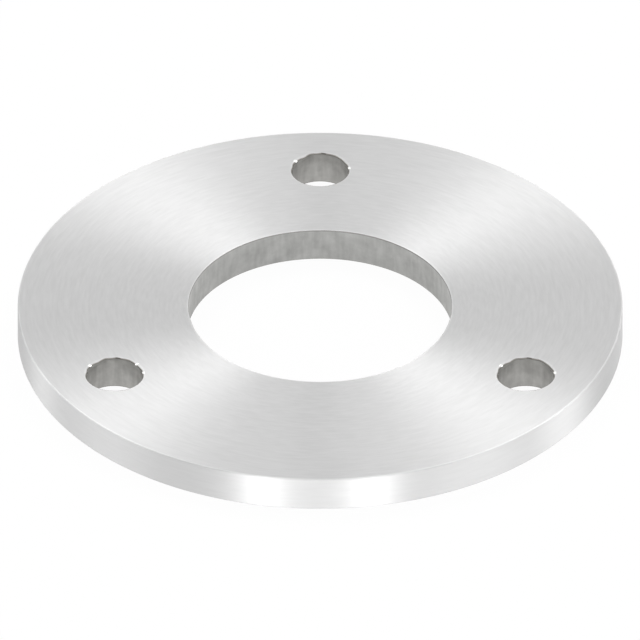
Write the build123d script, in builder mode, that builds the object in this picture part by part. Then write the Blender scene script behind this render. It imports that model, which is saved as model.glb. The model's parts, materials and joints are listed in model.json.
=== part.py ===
from build123d import *
import os

# Anchor plate for a round railing post: one disc cut from 6 mm stainless steel plate,
# with a bore for the post's tube and three through holes for the anchor bolts.
# It lies on the XY plane, with its axis on Z and the underside at Z = 0.
# All sizes are in millimetres and all angles in degrees.

# The disc, and the rounding that grinding leaves on its two outer edges
plate_diameter = 100.0
plate_thickness = 6.0
rim_rounding = 0.25

# The bore takes a standard handrail tube, with a gap all round for the weld
tube_diameter = 42.4
tube_gap = 0.55
bore_chamfer = 0.15

# The anchor bolts stand evenly on one circle, the first of them at the back
bolt_diameter = 8.0
bolt_gap = 0.75
bolt_circle_diameter = 78.5
bolt_count = 3
first_bolt_angle = 90.0
bolt_hole_chamfer = 0.15

plate_radius = plate_diameter / 2
bore_radius = tube_diameter / 2 + tube_gap
bolt_hole_radius = bolt_diameter / 2 + bolt_gap
bolt_circle_radius = bolt_circle_diameter / 2

with BuildPart() as anchor_plate:
    # The blank is cut round, and its two outer edges are rounded over
    with BuildSketch(Plane.XY):
        Circle(plate_radius)
    extrude(amount=plate_thickness)
    fillet(anchor_plate.edges().filter_by(GeomType.CIRCLE), rim_rounding)

    # The bore goes through the middle, and its sharp mouths are broken on both faces
    Hole(bore_radius)
    bore_mouths = anchor_plate.edges(Select.LAST).filter_by(GeomType.CIRCLE)
    chamfer(bore_mouths, bore_chamfer)

    # The bolt holes go straight through, and their mouths are deburred on both faces
    with PolarLocations(bolt_circle_radius, bolt_count, start_angle=first_bolt_angle):
        Hole(bolt_hole_radius)
    bolt_hole_mouths = anchor_plate.edges(Select.LAST).filter_by(GeomType.CIRCLE)
    chamfer(bolt_hole_mouths, bolt_hole_chamfer)

anchor_plate.part.label = "anchor_plate"

os.makedirs("parts", exist_ok=True)
export_step(anchor_plate.part, "parts/anchor_plate.step")
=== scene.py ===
import bmesh
import bpy
import json
import math
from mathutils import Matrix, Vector, noise


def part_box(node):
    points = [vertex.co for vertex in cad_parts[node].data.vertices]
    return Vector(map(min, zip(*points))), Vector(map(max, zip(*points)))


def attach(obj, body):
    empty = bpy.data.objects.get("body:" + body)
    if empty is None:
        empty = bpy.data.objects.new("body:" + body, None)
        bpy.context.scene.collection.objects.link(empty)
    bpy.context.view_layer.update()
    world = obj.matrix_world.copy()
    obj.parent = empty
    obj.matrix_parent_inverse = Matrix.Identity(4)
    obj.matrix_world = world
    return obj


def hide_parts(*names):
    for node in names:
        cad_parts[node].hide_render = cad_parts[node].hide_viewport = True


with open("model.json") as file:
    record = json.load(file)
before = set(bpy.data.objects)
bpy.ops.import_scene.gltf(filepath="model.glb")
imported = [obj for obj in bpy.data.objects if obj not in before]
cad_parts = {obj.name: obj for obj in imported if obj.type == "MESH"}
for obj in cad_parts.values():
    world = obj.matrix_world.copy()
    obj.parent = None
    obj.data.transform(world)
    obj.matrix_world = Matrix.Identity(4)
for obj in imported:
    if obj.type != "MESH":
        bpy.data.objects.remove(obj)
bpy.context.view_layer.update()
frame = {"record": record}

# The plate is one ring of stainless steel, cut by laser from 6 mm sheet. Both faces and the
# rim are brushed while it turns on its axis, and the belt rounds the two edges of the rim.
# The bore and the bolt holes are left as cut, with the burr at their mouths taken off by hand.
mm = 0.001
low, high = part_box("anchor_plate")
plate_axis = Vector((0, 0, 0))
plate_radius = min(high.x, high.y, -low.x, -low.y)
rim_rounding = 0.25 * mm
rim_steps = 360
face_strip_width = 0.15 * mm
top_edge_depth = 0.03 * mm
tolerance = 0.001 * mm
flat_slope = 0.9999

# The plate's material slots, in the order in which they are filled further down
brushed_face, brushed_rim, brushed_corner, highlight_ring = range(4)
bore_wall, hole_wall, painted_reflection_steel, dark_patch = range(4, 8)

# Each wall is spun from a section with five parts, and the flat faces count as the first
ring = bmesh.new()
part_layer = ring.faces.layers.int.new("part of the section")
flat_part, top_edge, upper_edge, wall_part, lower_edge = range(5)


def spin_wall(centre, radius, metal_side, rounding, steps, finishes, upper_depth=tolerance, widening=0):
    """Spins an upright wall of the plate with its two rounded edges and a strip of each face.

    The metal_side is 1 where the metal lies outside the wall and -1 where it lies inside. The
    upper edge goes on down the wall for upper_depth, and finishes has one for each part.
    """
    old_edges = set(ring.edges)
    old_points = set(ring.verts)
    old_faces = set(ring.faces)
    strip_width = metal_side * (rounding + face_strip_width)
    low_radius = radius + metal_side * widening
    upper_end = high.z - rounding - upper_depth
    section = [
        (radius + strip_width, high.z), (radius, high.z), (radius, upper_end), (low_radius, low.z),
        (low_radius + strip_width, low.z),
    ]
    points = [ring.verts.new((centre.x + reach, centre.y, height)) for reach, height in section]
    for pair in zip(points, points[1:]):
        ring.edges.new(pair)
    bmesh.ops.bevel(
        ring, geom=[points[1], points[3]], offset=rounding, affect="VERTICES", segments=5, profile=0.5,
        material=-1
    )
    profile = [edge for edge in ring.edges if edge not in old_edges]
    profile += [point for point in ring.verts if point not in old_points]
    bmesh.ops.spin(
        ring, geom=profile, cent=centre, axis=(0, 0, 1), angle=2 * math.pi, steps=steps, use_merge=True
    )
    for face in set(ring.faces) - old_faces:
        face.normal_update()
        height = face.calc_center_median().z
        part = wall_part
        if abs(face.normal.z) > flat_slope:
            part = flat_part
        elif height > high.z - top_edge_depth:
            part = top_edge
        elif height > upper_end:
            part = upper_edge
        elif height < low.z + rounding:
            part = lower_edge
        face[part_layer] = part
        face.material_index = finishes[part]
    return [point for point in ring.verts if point not in old_points]


rim_finishes = [brushed_face, brushed_corner, brushed_corner, brushed_rim, brushed_rim]
spin_wall(plate_axis, plate_radius, -1, rim_rounding, rim_steps, rim_finishes)

# The bore takes the tube of a handrail. It is cut by laser, which leaves its wall dull and a
# little wider at the underside. The very top of its edge takes the lighter corner finish, a painted
# highlight.
mounts = {mount["name"]: mount for mount in frame["record"]["mounts"]}
bore_radius = mounts["tube_bore"]["dims"]["r_mm"] * mm
bore_steps = 288
mouth_rounding = 0.15 * mm
cut_widening = 0.2 * mm
# The lower edge of each cut takes near-white steel, a painted reflection of the table, here and in the
# holes
bore_finishes = [highlight_ring, brushed_corner, bore_wall, bore_wall, painted_reflection_steel]
spin_wall(plate_axis, bore_radius, 1, mouth_rounding, bore_steps, bore_finishes, widening=cut_widening)

# The bolt holes are cut by laser too, which tears the upper mouth of each in much the same way,
# because one program cuts them. Small lips of steel lean into the hole there, and some of them are
# painted near white as glints. A small patch at the top of each wall is darker.
bolt_holes = mounts["anchor_bolts"]["dims"]
hole_radius = bolt_holes["hole_r_mm"] * mm
hole_circle_radius = bolt_holes["pcd_mm"] / 2 * mm
first_hole_angle = math.radians(90)
hole_steps = 180
# The strip of face round each mouth takes the lighter ring, a painted highlight line, here and at the bore
hole_finishes = [highlight_ring, hole_wall, hole_wall, hole_wall, painted_reflection_steel]
mouth_reach = hole_radius + mouth_rounding + face_strip_width / 2
torn_depth = 0.9 * mm
waver = 0.03 * mm
waver_length = 0.9 * mm

# Each lip has its direction from the hole's axis in degrees, how far it leans into the hole, and
# its half width in degrees
dull_lips = [
    (25, 0.22 * mm, 11), (43, 0.24 * mm, 16), (74, 0.16 * mm, 10), (97, 0.17 * mm, 9),
    (128, 0.48 * mm, 13), (171, 0.21 * mm, 11),
]
painted_glint_lips = [(5, 0.15 * mm, 8), (149, 0.2 * mm, 9)]
left_hole_lip = (38, 0.08 * mm, 6)
painted_glint_lips_of_holes = [painted_glint_lips, painted_glint_lips + [left_hole_lip], painted_glint_lips]
painted_glint_share = 0.3
# A small patch at the top of each hole's wall, at pit_turn, is darker
pit_turn = 83
pit_half_width = 4
pit_depth = 0.4 * mm


def apart(arm, turn):
    """Gives the degrees between a direction from a hole's axis and a turn about it."""
    return (math.degrees(math.atan2(arm.y, arm.x)) - turn + 180) % 360 - 180


def torn_reach(arm, lips):
    """Gives how far the torn mouth lies outside its circle in a direction from the hole's axis."""
    reach = waver * noise.noise(Vector((arm.x, arm.y, 0)).normalized() * hole_radius / waver_length)
    for turn, lean, half_width in lips:
        reach -= lean * math.exp(-((apart(arm, turn) / half_width) ** 2))
    return reach


for index in range(bolt_holes["count"]):
    hole_angle = first_hole_angle + index * 2 * math.pi / bolt_holes["count"]
    centre = Vector((math.cos(hole_angle), math.sin(hole_angle), 0)) * hole_circle_radius
    wall = spin_wall(
        centre, hole_radius, 1, mouth_rounding, hole_steps, hole_finishes, torn_depth, cut_widening
    )
    for point in wall:
        arm = (point.co - centre).xy
        if high.z - point.co.z < torn_depth and arm.length < mouth_reach:
            point.co.xy += arm.normalized() * torn_reach(arm, dull_lips + painted_glint_lips_of_holes[index])
    for face in {face for point in wall for face in point.link_faces}:
        middle = face.calc_center_median()
        arm = (middle - centre).xy
        depth = high.z - middle.z
        at_pit = abs(apart(arm, pit_turn)) < pit_half_width
        if at_pit and depth < pit_depth and face.material_index == hole_wall:
            face.material_index = dark_patch
        # Faces at the mouth of each glinting lip take the near-white steel, a painted glint
        for turn, _, half_width in painted_glint_lips_of_holes[index]:
            if depth < mouth_rounding and abs(apart(arm, turn)) < half_width * painted_glint_share:
                face.material_index = painted_reflection_steel

# The two flat faces are what is left of the sheet between the cuts, so they are filled in between
# the strips. The ring is shaded smooth, but not from a face to an edge or from an edge to a wall.
for level in (high.z, low.z):
    borders = [
        edge for edge in ring.edges
        if edge.is_boundary and all(abs(point.co.z - level) < tolerance for point in edge.verts)
    ]
    bmesh.ops.triangle_fill(ring, edges=borders, use_beauty=True, normal=(0, 0, 1))
bmesh.ops.recalc_face_normals(ring, faces=ring.faces)
for face in ring.faces:
    face.smooth = True
for edge in ring.edges:
    joined_parts = {face[part_layer] for face in edge.link_faces}
    edge.smooth = len(joined_parts) == 1 or joined_parts == {top_edge, upper_edge}

plate_mesh = bpy.data.meshes.new("anchor_plate_body")
ring.to_mesh(plate_mesh)
ring.free()
plate = bpy.data.objects.new("anchor_plate_body", plate_mesh)
bpy.context.scene.collection.objects.link(plate)

# Stainless steel, brushed on a turntable with a belt of about 240 grit. The scratches run in
# circles round the axis, so each lamp draws a bright fan across the face. The real ones are too
# fine to show, so they are drawn 0.5 mm wide.
scratch_width = 0.5 * mm
scratch_length = 3.5 * mm
scratch_relief = 0.01 * mm
roughness_spread = 0.015
quarter_turn = 0.25


def linear(colour):
    """Turns an sRGB hex colour into the linear colour that the shaders take."""
    channels = [int(colour[place:place + 2], 16) / 255 for place in (1, 3, 5)]
    return [part / 12.92 if part <= 0.04045 else ((part + 0.055) / 1.055) ** 2.4 for part in channels] + [1]


def add_node(tree, kind, settings=None, links=None):
    """Adds a node, sets its options or unlinked inputs, and links other nodes' outputs to its inputs."""
    node = tree.nodes.new(kind)
    for name, value in (settings or {}).items():
        if isinstance(name, str) and hasattr(node, name):
            setattr(node, name, value)
        else:
            node.inputs[name].default_value = value
    for name, output in (links or {}).items():
        tree.links.new(output, node.inputs[name])
    return node


def new_material(name):
    """Starts an empty material and returns it with its tree."""
    material = bpy.data.materials.new(name)
    material.use_nodes = True
    material.node_tree.nodes.clear()
    return material, material.node_tree


def brushed_steel(name, dark_shade, light_shade, roughness, anisotropy, edge_tint):
    """Makes steel that is brushed round the plate's axis, so that it is rough across the scratches.

    The edge_tint is its shade where it is seen at a low angle.
    """
    material, tree = new_material(name)
    place = add_node(tree, "ShaderNodeTexCoord")
    flat_place = add_node(
        tree, "ShaderNodeVectorMath", {"operation": "MULTIPLY", 1: (1, 1, 0)},
        {0: place.outputs["Object"]}
    )
    reach = add_node(
        tree, "ShaderNodeVectorMath", {"operation": "LENGTH"}, {0: flat_place.outputs["Vector"]}
    )
    direction = add_node(
        tree, "ShaderNodeVectorMath", {"operation": "NORMALIZE"}, {0: flat_place.outputs["Vector"]}
    )
    along = add_node(
        tree, "ShaderNodeVectorMath",
        {"operation": "SCALE", "Scale": (plate_radius + bore_radius) / 2 / scratch_length},
        {0: direction.outputs["Vector"]}
    )
    # The scratches go over the rim's edge, so the height counts as well as the reach
    position = add_node(tree, "ShaderNodeSeparateXYZ", {}, {0: place.outputs["Object"]})
    over_edge = add_node(
        tree, "ShaderNodeMath", {"operation": "SUBTRACT"},
        {0: reach.outputs["Value"], 1: position.outputs["Z"]}
    )
    across = add_node(
        tree, "ShaderNodeMath", {"operation": "MULTIPLY", 1: 1 / scratch_width},
        {0: over_edge.outputs[0]}
    )
    across_vector = add_node(tree, "ShaderNodeCombineXYZ", {}, {"Z": across.outputs[0]})
    scratch_place = add_node(
        tree, "ShaderNodeVectorMath", {"operation": "ADD"},
        {0: along.outputs["Vector"], 1: across_vector.outputs[0]}
    )
    scratches = add_node(
        tree, "ShaderNodeTexNoise", {"Scale": 1.0, "Detail": 2.0, "Roughness": 0.6},
        {"Vector": scratch_place.outputs[0]}
    )
    tone = add_node(
        tree, "ShaderNodeMapRange", {"From Min": 0.3, "From Max": 0.7},
        {"Value": scratches.outputs["Fac"]}
    )
    colour = add_node(
        tree, "ShaderNodeMix", {"data_type": "RGBA", 6: linear(dark_shade), 7: linear(light_shade)},
        {0: tone.outputs["Result"]}
    )
    scratch_roughness = add_node(
        tree, "ShaderNodeMapRange",
        {"To Min": roughness * (1 - roughness_spread), "To Max": roughness * (1 + roughness_spread)},
        {"Value": tone.outputs["Result"]}
    )
    grain = add_node(
        tree, "ShaderNodeBump", {"Strength": 0.01, "Distance": scratch_relief},
        {"Height": scratches.outputs["Fac"]}
    )
    round_axis = add_node(tree, "ShaderNodeTangent", {"direction_type": "RADIAL", "axis": "Z"})
    steel = add_node(
        tree, "ShaderNodeBsdfPrincipled",
        {
            "Metallic": 1.0, "Anisotropic": anisotropy, "Anisotropic Rotation": quarter_turn,
            "Specular Tint": linear(edge_tint),
        },
        {
            "Base Color": colour.outputs[2], "Roughness": scratch_roughness.outputs["Result"],
            "Normal": grain.outputs["Normal"], "Tangent": round_axis.outputs["Tangent"],
        }
    )
    add_node(tree, "ShaderNodeOutputMaterial", {}, {"Surface": steel.outputs["BSDF"]})
    return material


face_material = brushed_steel(
    "brushed_stainless_face", "#C4C4C4", "#CBCBCB", roughness=0.55, anisotropy=0.93, edge_tint="#B0B0B0"
)

# The rim is dressed by a finer belt, which leaves it smoother and its bands of light narrower.
# Its shades are lighter than the face's, which paints extra light on the rim.
# The belt of the face rounds over the rim's upper edge, and its wider sheen shows there as a bright
# line. This finish is lighter than the face's, which paints part of that line as a highlight, there
# and along the very top of the bore's edge.
rim_material = brushed_steel(
    "brushed_stainless_rim", "#D3D3D3", "#D7D7D7", roughness=0.47, anisotropy=0.89, edge_tint="#A8A8A8"
)
corner_material = brushed_steel(
    "brushed_stainless_corner", "#D0D0D0", "#D6D6D6", roughness=0.55, anisotropy=0.91, edge_tint="#B0B0B0"
)

# A narrow ring of the face round each mouth has lighter shades than the face, which paint a
# slightly brighter highlight line there
highlight_ring_material = brushed_steel(
    "stainless_painted_highlight_ring", "#C9C9C9", "#D1D1D1", roughness=0.55, anisotropy=0.93, edge_tint="#B0B0B0"
)

# Steel as the laser leaves it: dull and slightly warm, with upright streaks and blotches. A darker
# line along the top and the bottom of the cut is partly scorch and partly painted shade at the mouths
streak_width = 0.8 * mm
streak_length = 5 * mm
blotch_width = 2.2 * mm
cut_roughness = 0.55
cut_anisotropy = 0.7


def cut_steel(name, dark_shade, light_shade, scorch_and_shade_colour, scorch_and_shade_width, edge_tint):
    """Makes steel with the marks of the laser's cut and a darker line of scorch and painted shade."""
    material, tree = new_material(name)
    place = add_node(tree, "ShaderNodeTexCoord")
    streak_place = add_node(
        tree, "ShaderNodeMapping", {"Scale": (1 / streak_width, 1 / streak_width, 1 / streak_length)},
        {"Vector": place.outputs["Object"]}
    )
    streaks = add_node(
        tree, "ShaderNodeTexNoise", {"Scale": 1.0, "Detail": 2.0},
        {"Vector": streak_place.outputs["Vector"]}
    )
    blotches = add_node(
        tree, "ShaderNodeTexNoise", {"Scale": 1 / blotch_width, "Detail": 3.0, "Roughness": 0.6},
        {"Vector": place.outputs["Object"]}
    )
    marks = add_node(
        tree, "ShaderNodeMix", {"data_type": "FLOAT", "Factor": 0.6},
        {2: streaks.outputs["Fac"], 3: blotches.outputs["Fac"]}
    )
    tone = add_node(
        tree, "ShaderNodeMapRange", {"From Min": 0.35, "From Max": 0.65}, {"Value": marks.outputs[0]}
    )
    streaked_colour = add_node(
        tree, "ShaderNodeMix", {"data_type": "RGBA", 6: linear(dark_shade), 7: linear(light_shade)},
        {0: tone.outputs["Result"]}
    )
    position = add_node(tree, "ShaderNodeSeparateXYZ", {}, {0: place.outputs["Object"]})
    above_middle = add_node(
        tree, "ShaderNodeMath", {"operation": "SUBTRACT", 1: (low.z + high.z) / 2},
        {0: position.outputs["Z"]}
    )
    from_middle = add_node(tree, "ShaderNodeMath", {"operation": "ABSOLUTE"}, {0: above_middle.outputs[0]})
    scorch_and_shade_start = (high.z - low.z) / 2 - mouth_rounding - scorch_and_shade_width
    scorch_and_shade_line = add_node(
        tree, "ShaderNodeMapRange",
        {"From Min": scorch_and_shade_start, "From Max": scorch_and_shade_start + scorch_and_shade_width / 2},
        {"Value": from_middle.outputs[0]}
    )
    colour = add_node(
        tree, "ShaderNodeMix", {"data_type": "RGBA", 7: linear(scorch_and_shade_colour)},
        {0: scorch_and_shade_line.outputs["Result"], 6: streaked_colour.outputs[2]}
    )
    surface = add_node(tree, "ShaderNodeNewGeometry")
    level = add_node(
        tree, "ShaderNodeVectorMath", {"operation": "CROSS_PRODUCT", 1: (0, 0, 1)},
        {0: surface.outputs["Normal"]}
    )
    steel = add_node(
        tree, "ShaderNodeBsdfPrincipled",
        {
            "Metallic": 1.0, "Roughness": cut_roughness, "Anisotropic": cut_anisotropy,
            "Specular Tint": linear(edge_tint),
        },
        {"Base Color": colour.outputs[2], "Tangent": level.outputs["Vector"]}
    )
    add_node(tree, "ShaderNodeOutputMaterial", {}, {"Surface": steel.outputs["BSDF"]})
    return material


bore_material = cut_steel(
    "cut_stainless_bore", "#A5A5A3", "#BABAB8", "#8E8D8B", scorch_and_shade_width=0.1 * mm, edge_tint="#FFFFFF"
)
# The holes' copy of this steel is lighter than the bore's, which paints in light that the shade in the
# small holes takes away, and its dark edge tint paints shade on the walls seen at a low angle
hole_material = cut_steel(
    "cut_stainless_hole", "#A6A5A2", "#C0BFBC", "#8A8884", scorch_and_shade_width=0.15 * mm, edge_tint="#202020"
)


# Near-white smooth steel, much lighter than the plate's own: it paints glints on the lips of metal
# at the bolt holes, and a brighter reflection of the white table on the lower edge of each cut.
# A small patch at the top of each hole's wall is dark and dull.
def plain_steel(name, shade, roughness):
    """Makes steel of one even shade, for places so small that no grain shows on them."""
    material, tree = new_material(name)
    steel = add_node(
        tree, "ShaderNodeBsdfPrincipled",
        {"Metallic": 1.0, "Base Color": linear(shade), "Roughness": roughness}
    )
    add_node(tree, "ShaderNodeOutputMaterial", {}, {"Surface": steel.outputs["BSDF"]})
    return material


painted_reflection_material = plain_steel("stainless_painted_reflection", "#F2F2F0", roughness=0.35)
dark_patch_material = plain_steel("dark_stainless_patch", "#6A6864", roughness=0.7)

# The finished plate takes its eight materials in the order of its slots
for material in (
    face_material, rim_material, corner_material, highlight_ring_material,
    bore_material, hole_material, painted_reflection_material, dark_patch_material
):
    plate_mesh.materials.append(material)
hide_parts("anchor_plate")
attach(plate, "root")

# The floor is a white studio table, much wider than the view. It shows as plain white, and
# its painted share still takes the plate's shadow.
floor_radius = 2.5
floor_gap = 0.02 * mm
shadow_share = 0.04


def seen_part(tree):
    """Adds nodes that give 1 where a surface is seen, mirrored or seen through glass, and else 0."""
    ray = add_node(tree, "ShaderNodeLightPath")
    seen_or_mirrored = add_node(
        tree, "ShaderNodeMath", {"operation": "MAXIMUM"},
        {0: ray.outputs["Is Camera Ray"], 1: ray.outputs["Is Glossy Ray"]}
    )
    in_view = add_node(
        tree, "ShaderNodeMath", {"operation": "MAXIMUM"},
        {0: seen_or_mirrored.outputs[0], 1: ray.outputs["Is Transmission Ray"]}
    )
    return in_view.outputs[0]


floor_mesh = bpy.data.meshes.new("floor")
disc = bmesh.new()
bmesh.ops.create_circle(disc, cap_ends=True, segments=96, radius=floor_radius)
bmesh.ops.translate(disc, verts=disc.verts, vec=(0, 0, low.z - floor_gap))
disc.to_mesh(floor_mesh)
disc.free()
floor = bpy.data.objects.new("floor", floor_mesh)
bpy.context.scene.collection.objects.link(floor)
floor_material, floor_tree = new_material("white_table")
white_part = add_node(
    floor_tree, "ShaderNodeMath", {"operation": "MULTIPLY", 1: 1 - shadow_share}, {0: seen_part(floor_tree)}
)
paint = add_node(floor_tree, "ShaderNodeBsdfDiffuse", {"Color": linear("#FAFAFA")})
plain_white = add_node(floor_tree, "ShaderNodeEmission", {"Color": (1, 1, 1, 1), "Strength": 1.0})
table = add_node(
    floor_tree, "ShaderNodeMixShader", {},
    {0: white_part.outputs[0], 1: paint.outputs[0], 2: plain_white.outputs[0]}
)
add_node(floor_tree, "ShaderNodeOutputMaterial", {}, {"Surface": table.outputs[0]})
floor_mesh.materials.append(floor_material)

# The room round the table has plain white walls. It is white where it is seen or mirrored, and
# lights the plate softly from all sides at a little more than half of that.
room_light = 0.6
world = bpy.data.worlds.new("studio")
bpy.context.scene.world = world
world.use_nodes = True
room_tree = world.node_tree
room_tree.nodes.clear()
strength = add_node(
    room_tree, "ShaderNodeMapRange", {"To Min": room_light, "To Max": 1.0}, {"Value": seen_part(room_tree)}
)
room = add_node(
    room_tree, "ShaderNodeBackground", {"Color": (1, 1, 1, 1)}, {"Strength": strength.outputs["Result"]}
)
add_node(room_tree, "ShaderNodeOutputWorld", {}, {"Surface": room.outputs[0]})

# Four softboxes draw the two pairs of bright fans on the face, two for each pair, so that neither
# is too bright from another side, and the side fill lightens the face between them. The low lamps
# round the table draw the bands of light on the rim.
lamp_distance = 2


def add_lamp(name, azimuth, elevation, width, height, power):
    """Hangs a soft round or oval lamp that faces the plate, in degrees, metres and watts."""
    data = bpy.data.lights.new(name, "AREA")
    data.shape = "ELLIPSE"
    data.size = width
    data.size_y = height
    data.energy = power
    lamp = bpy.data.objects.new(name, data)
    turn, rise = math.radians(azimuth), math.radians(elevation)
    aim = Vector((math.cos(turn) * math.cos(rise), math.sin(turn) * math.cos(rise), math.sin(rise)))
    lamp.location = aim * lamp_distance
    lamp.rotation_mode = "QUATERNION"
    lamp.rotation_quaternion = aim.to_track_quat("Z", "Y")
    lamp.visible_camera = False
    bpy.context.scene.collection.objects.link(lamp)


add_lamp("left_softbox", 162, 49.4, 0.8, 0.8, 4)
add_lamp("left_back_softbox", 116, 52.3, 0.8, 0.8, 6.4)
add_lamp("right_softbox", 17, 55.1, 0.8, 0.8, 3.9)
add_lamp("right_back_softbox", 65, 54.4, 0.8, 0.8, 6.8)
add_lamp("side_fill", 67, 27, 0.6, 0.6, 1.7)
add_lamp("front_left_lamp", 250, 3, 0.35, 0.2, 9)
add_lamp("front_right_lamp", 288, 3, 0.35, 0.2, 8.8)
add_lamp("front_strip", 272, 3, 1.3, 0.2, 3.9)
add_lamp("left_strip", 193, 3, 1.2, 0.2, 2.5)
add_lamp("right_strip", 325, 3, 1.6, 0.2, 6.7)
add_lamp("low_right_lamp", 4, 3, 0.9, 0.2, 6.3)
add_lamp("back_left_lamp", 156, 3, 0.35, 0.2, 3.1)
add_lamp("back_right_lamp", 44, 3, 0.5, 0.2, 1.2)

# The camera stands in front of the plate and looks down on it. The photo shows no perspective,
# so the camera is a parallel one, at the scale and the elevation at which the plate's circles
# fit the photo's.
pixels_per_mm = 6.05
picture_width = 640
camera_elevation = math.radians(35.06)
camera_distance = 1.0
nearest_seen = 0.01
farthest_seen = 10
aim_point = Vector((-0.02, 0, 3.15)) * mm
back = Vector((0, -math.cos(camera_elevation), math.sin(camera_elevation)))
camera_data = bpy.data.cameras.new("camera")
camera_data.type = "ORTHO"
camera_data.ortho_scale = picture_width / pixels_per_mm * mm
camera_data.clip_start = nearest_seen
camera_data.clip_end = farthest_seen
camera = bpy.data.objects.new("camera", camera_data)
camera.location = aim_point + back * camera_distance
camera.rotation_mode = "QUATERNION"
camera.rotation_quaternion = back.to_track_quat("Z", "Y")
bpy.context.scene.collection.objects.link(camera)
bpy.context.scene.camera = camera
bpy.context.scene.view_settings.view_transform = "Standard"
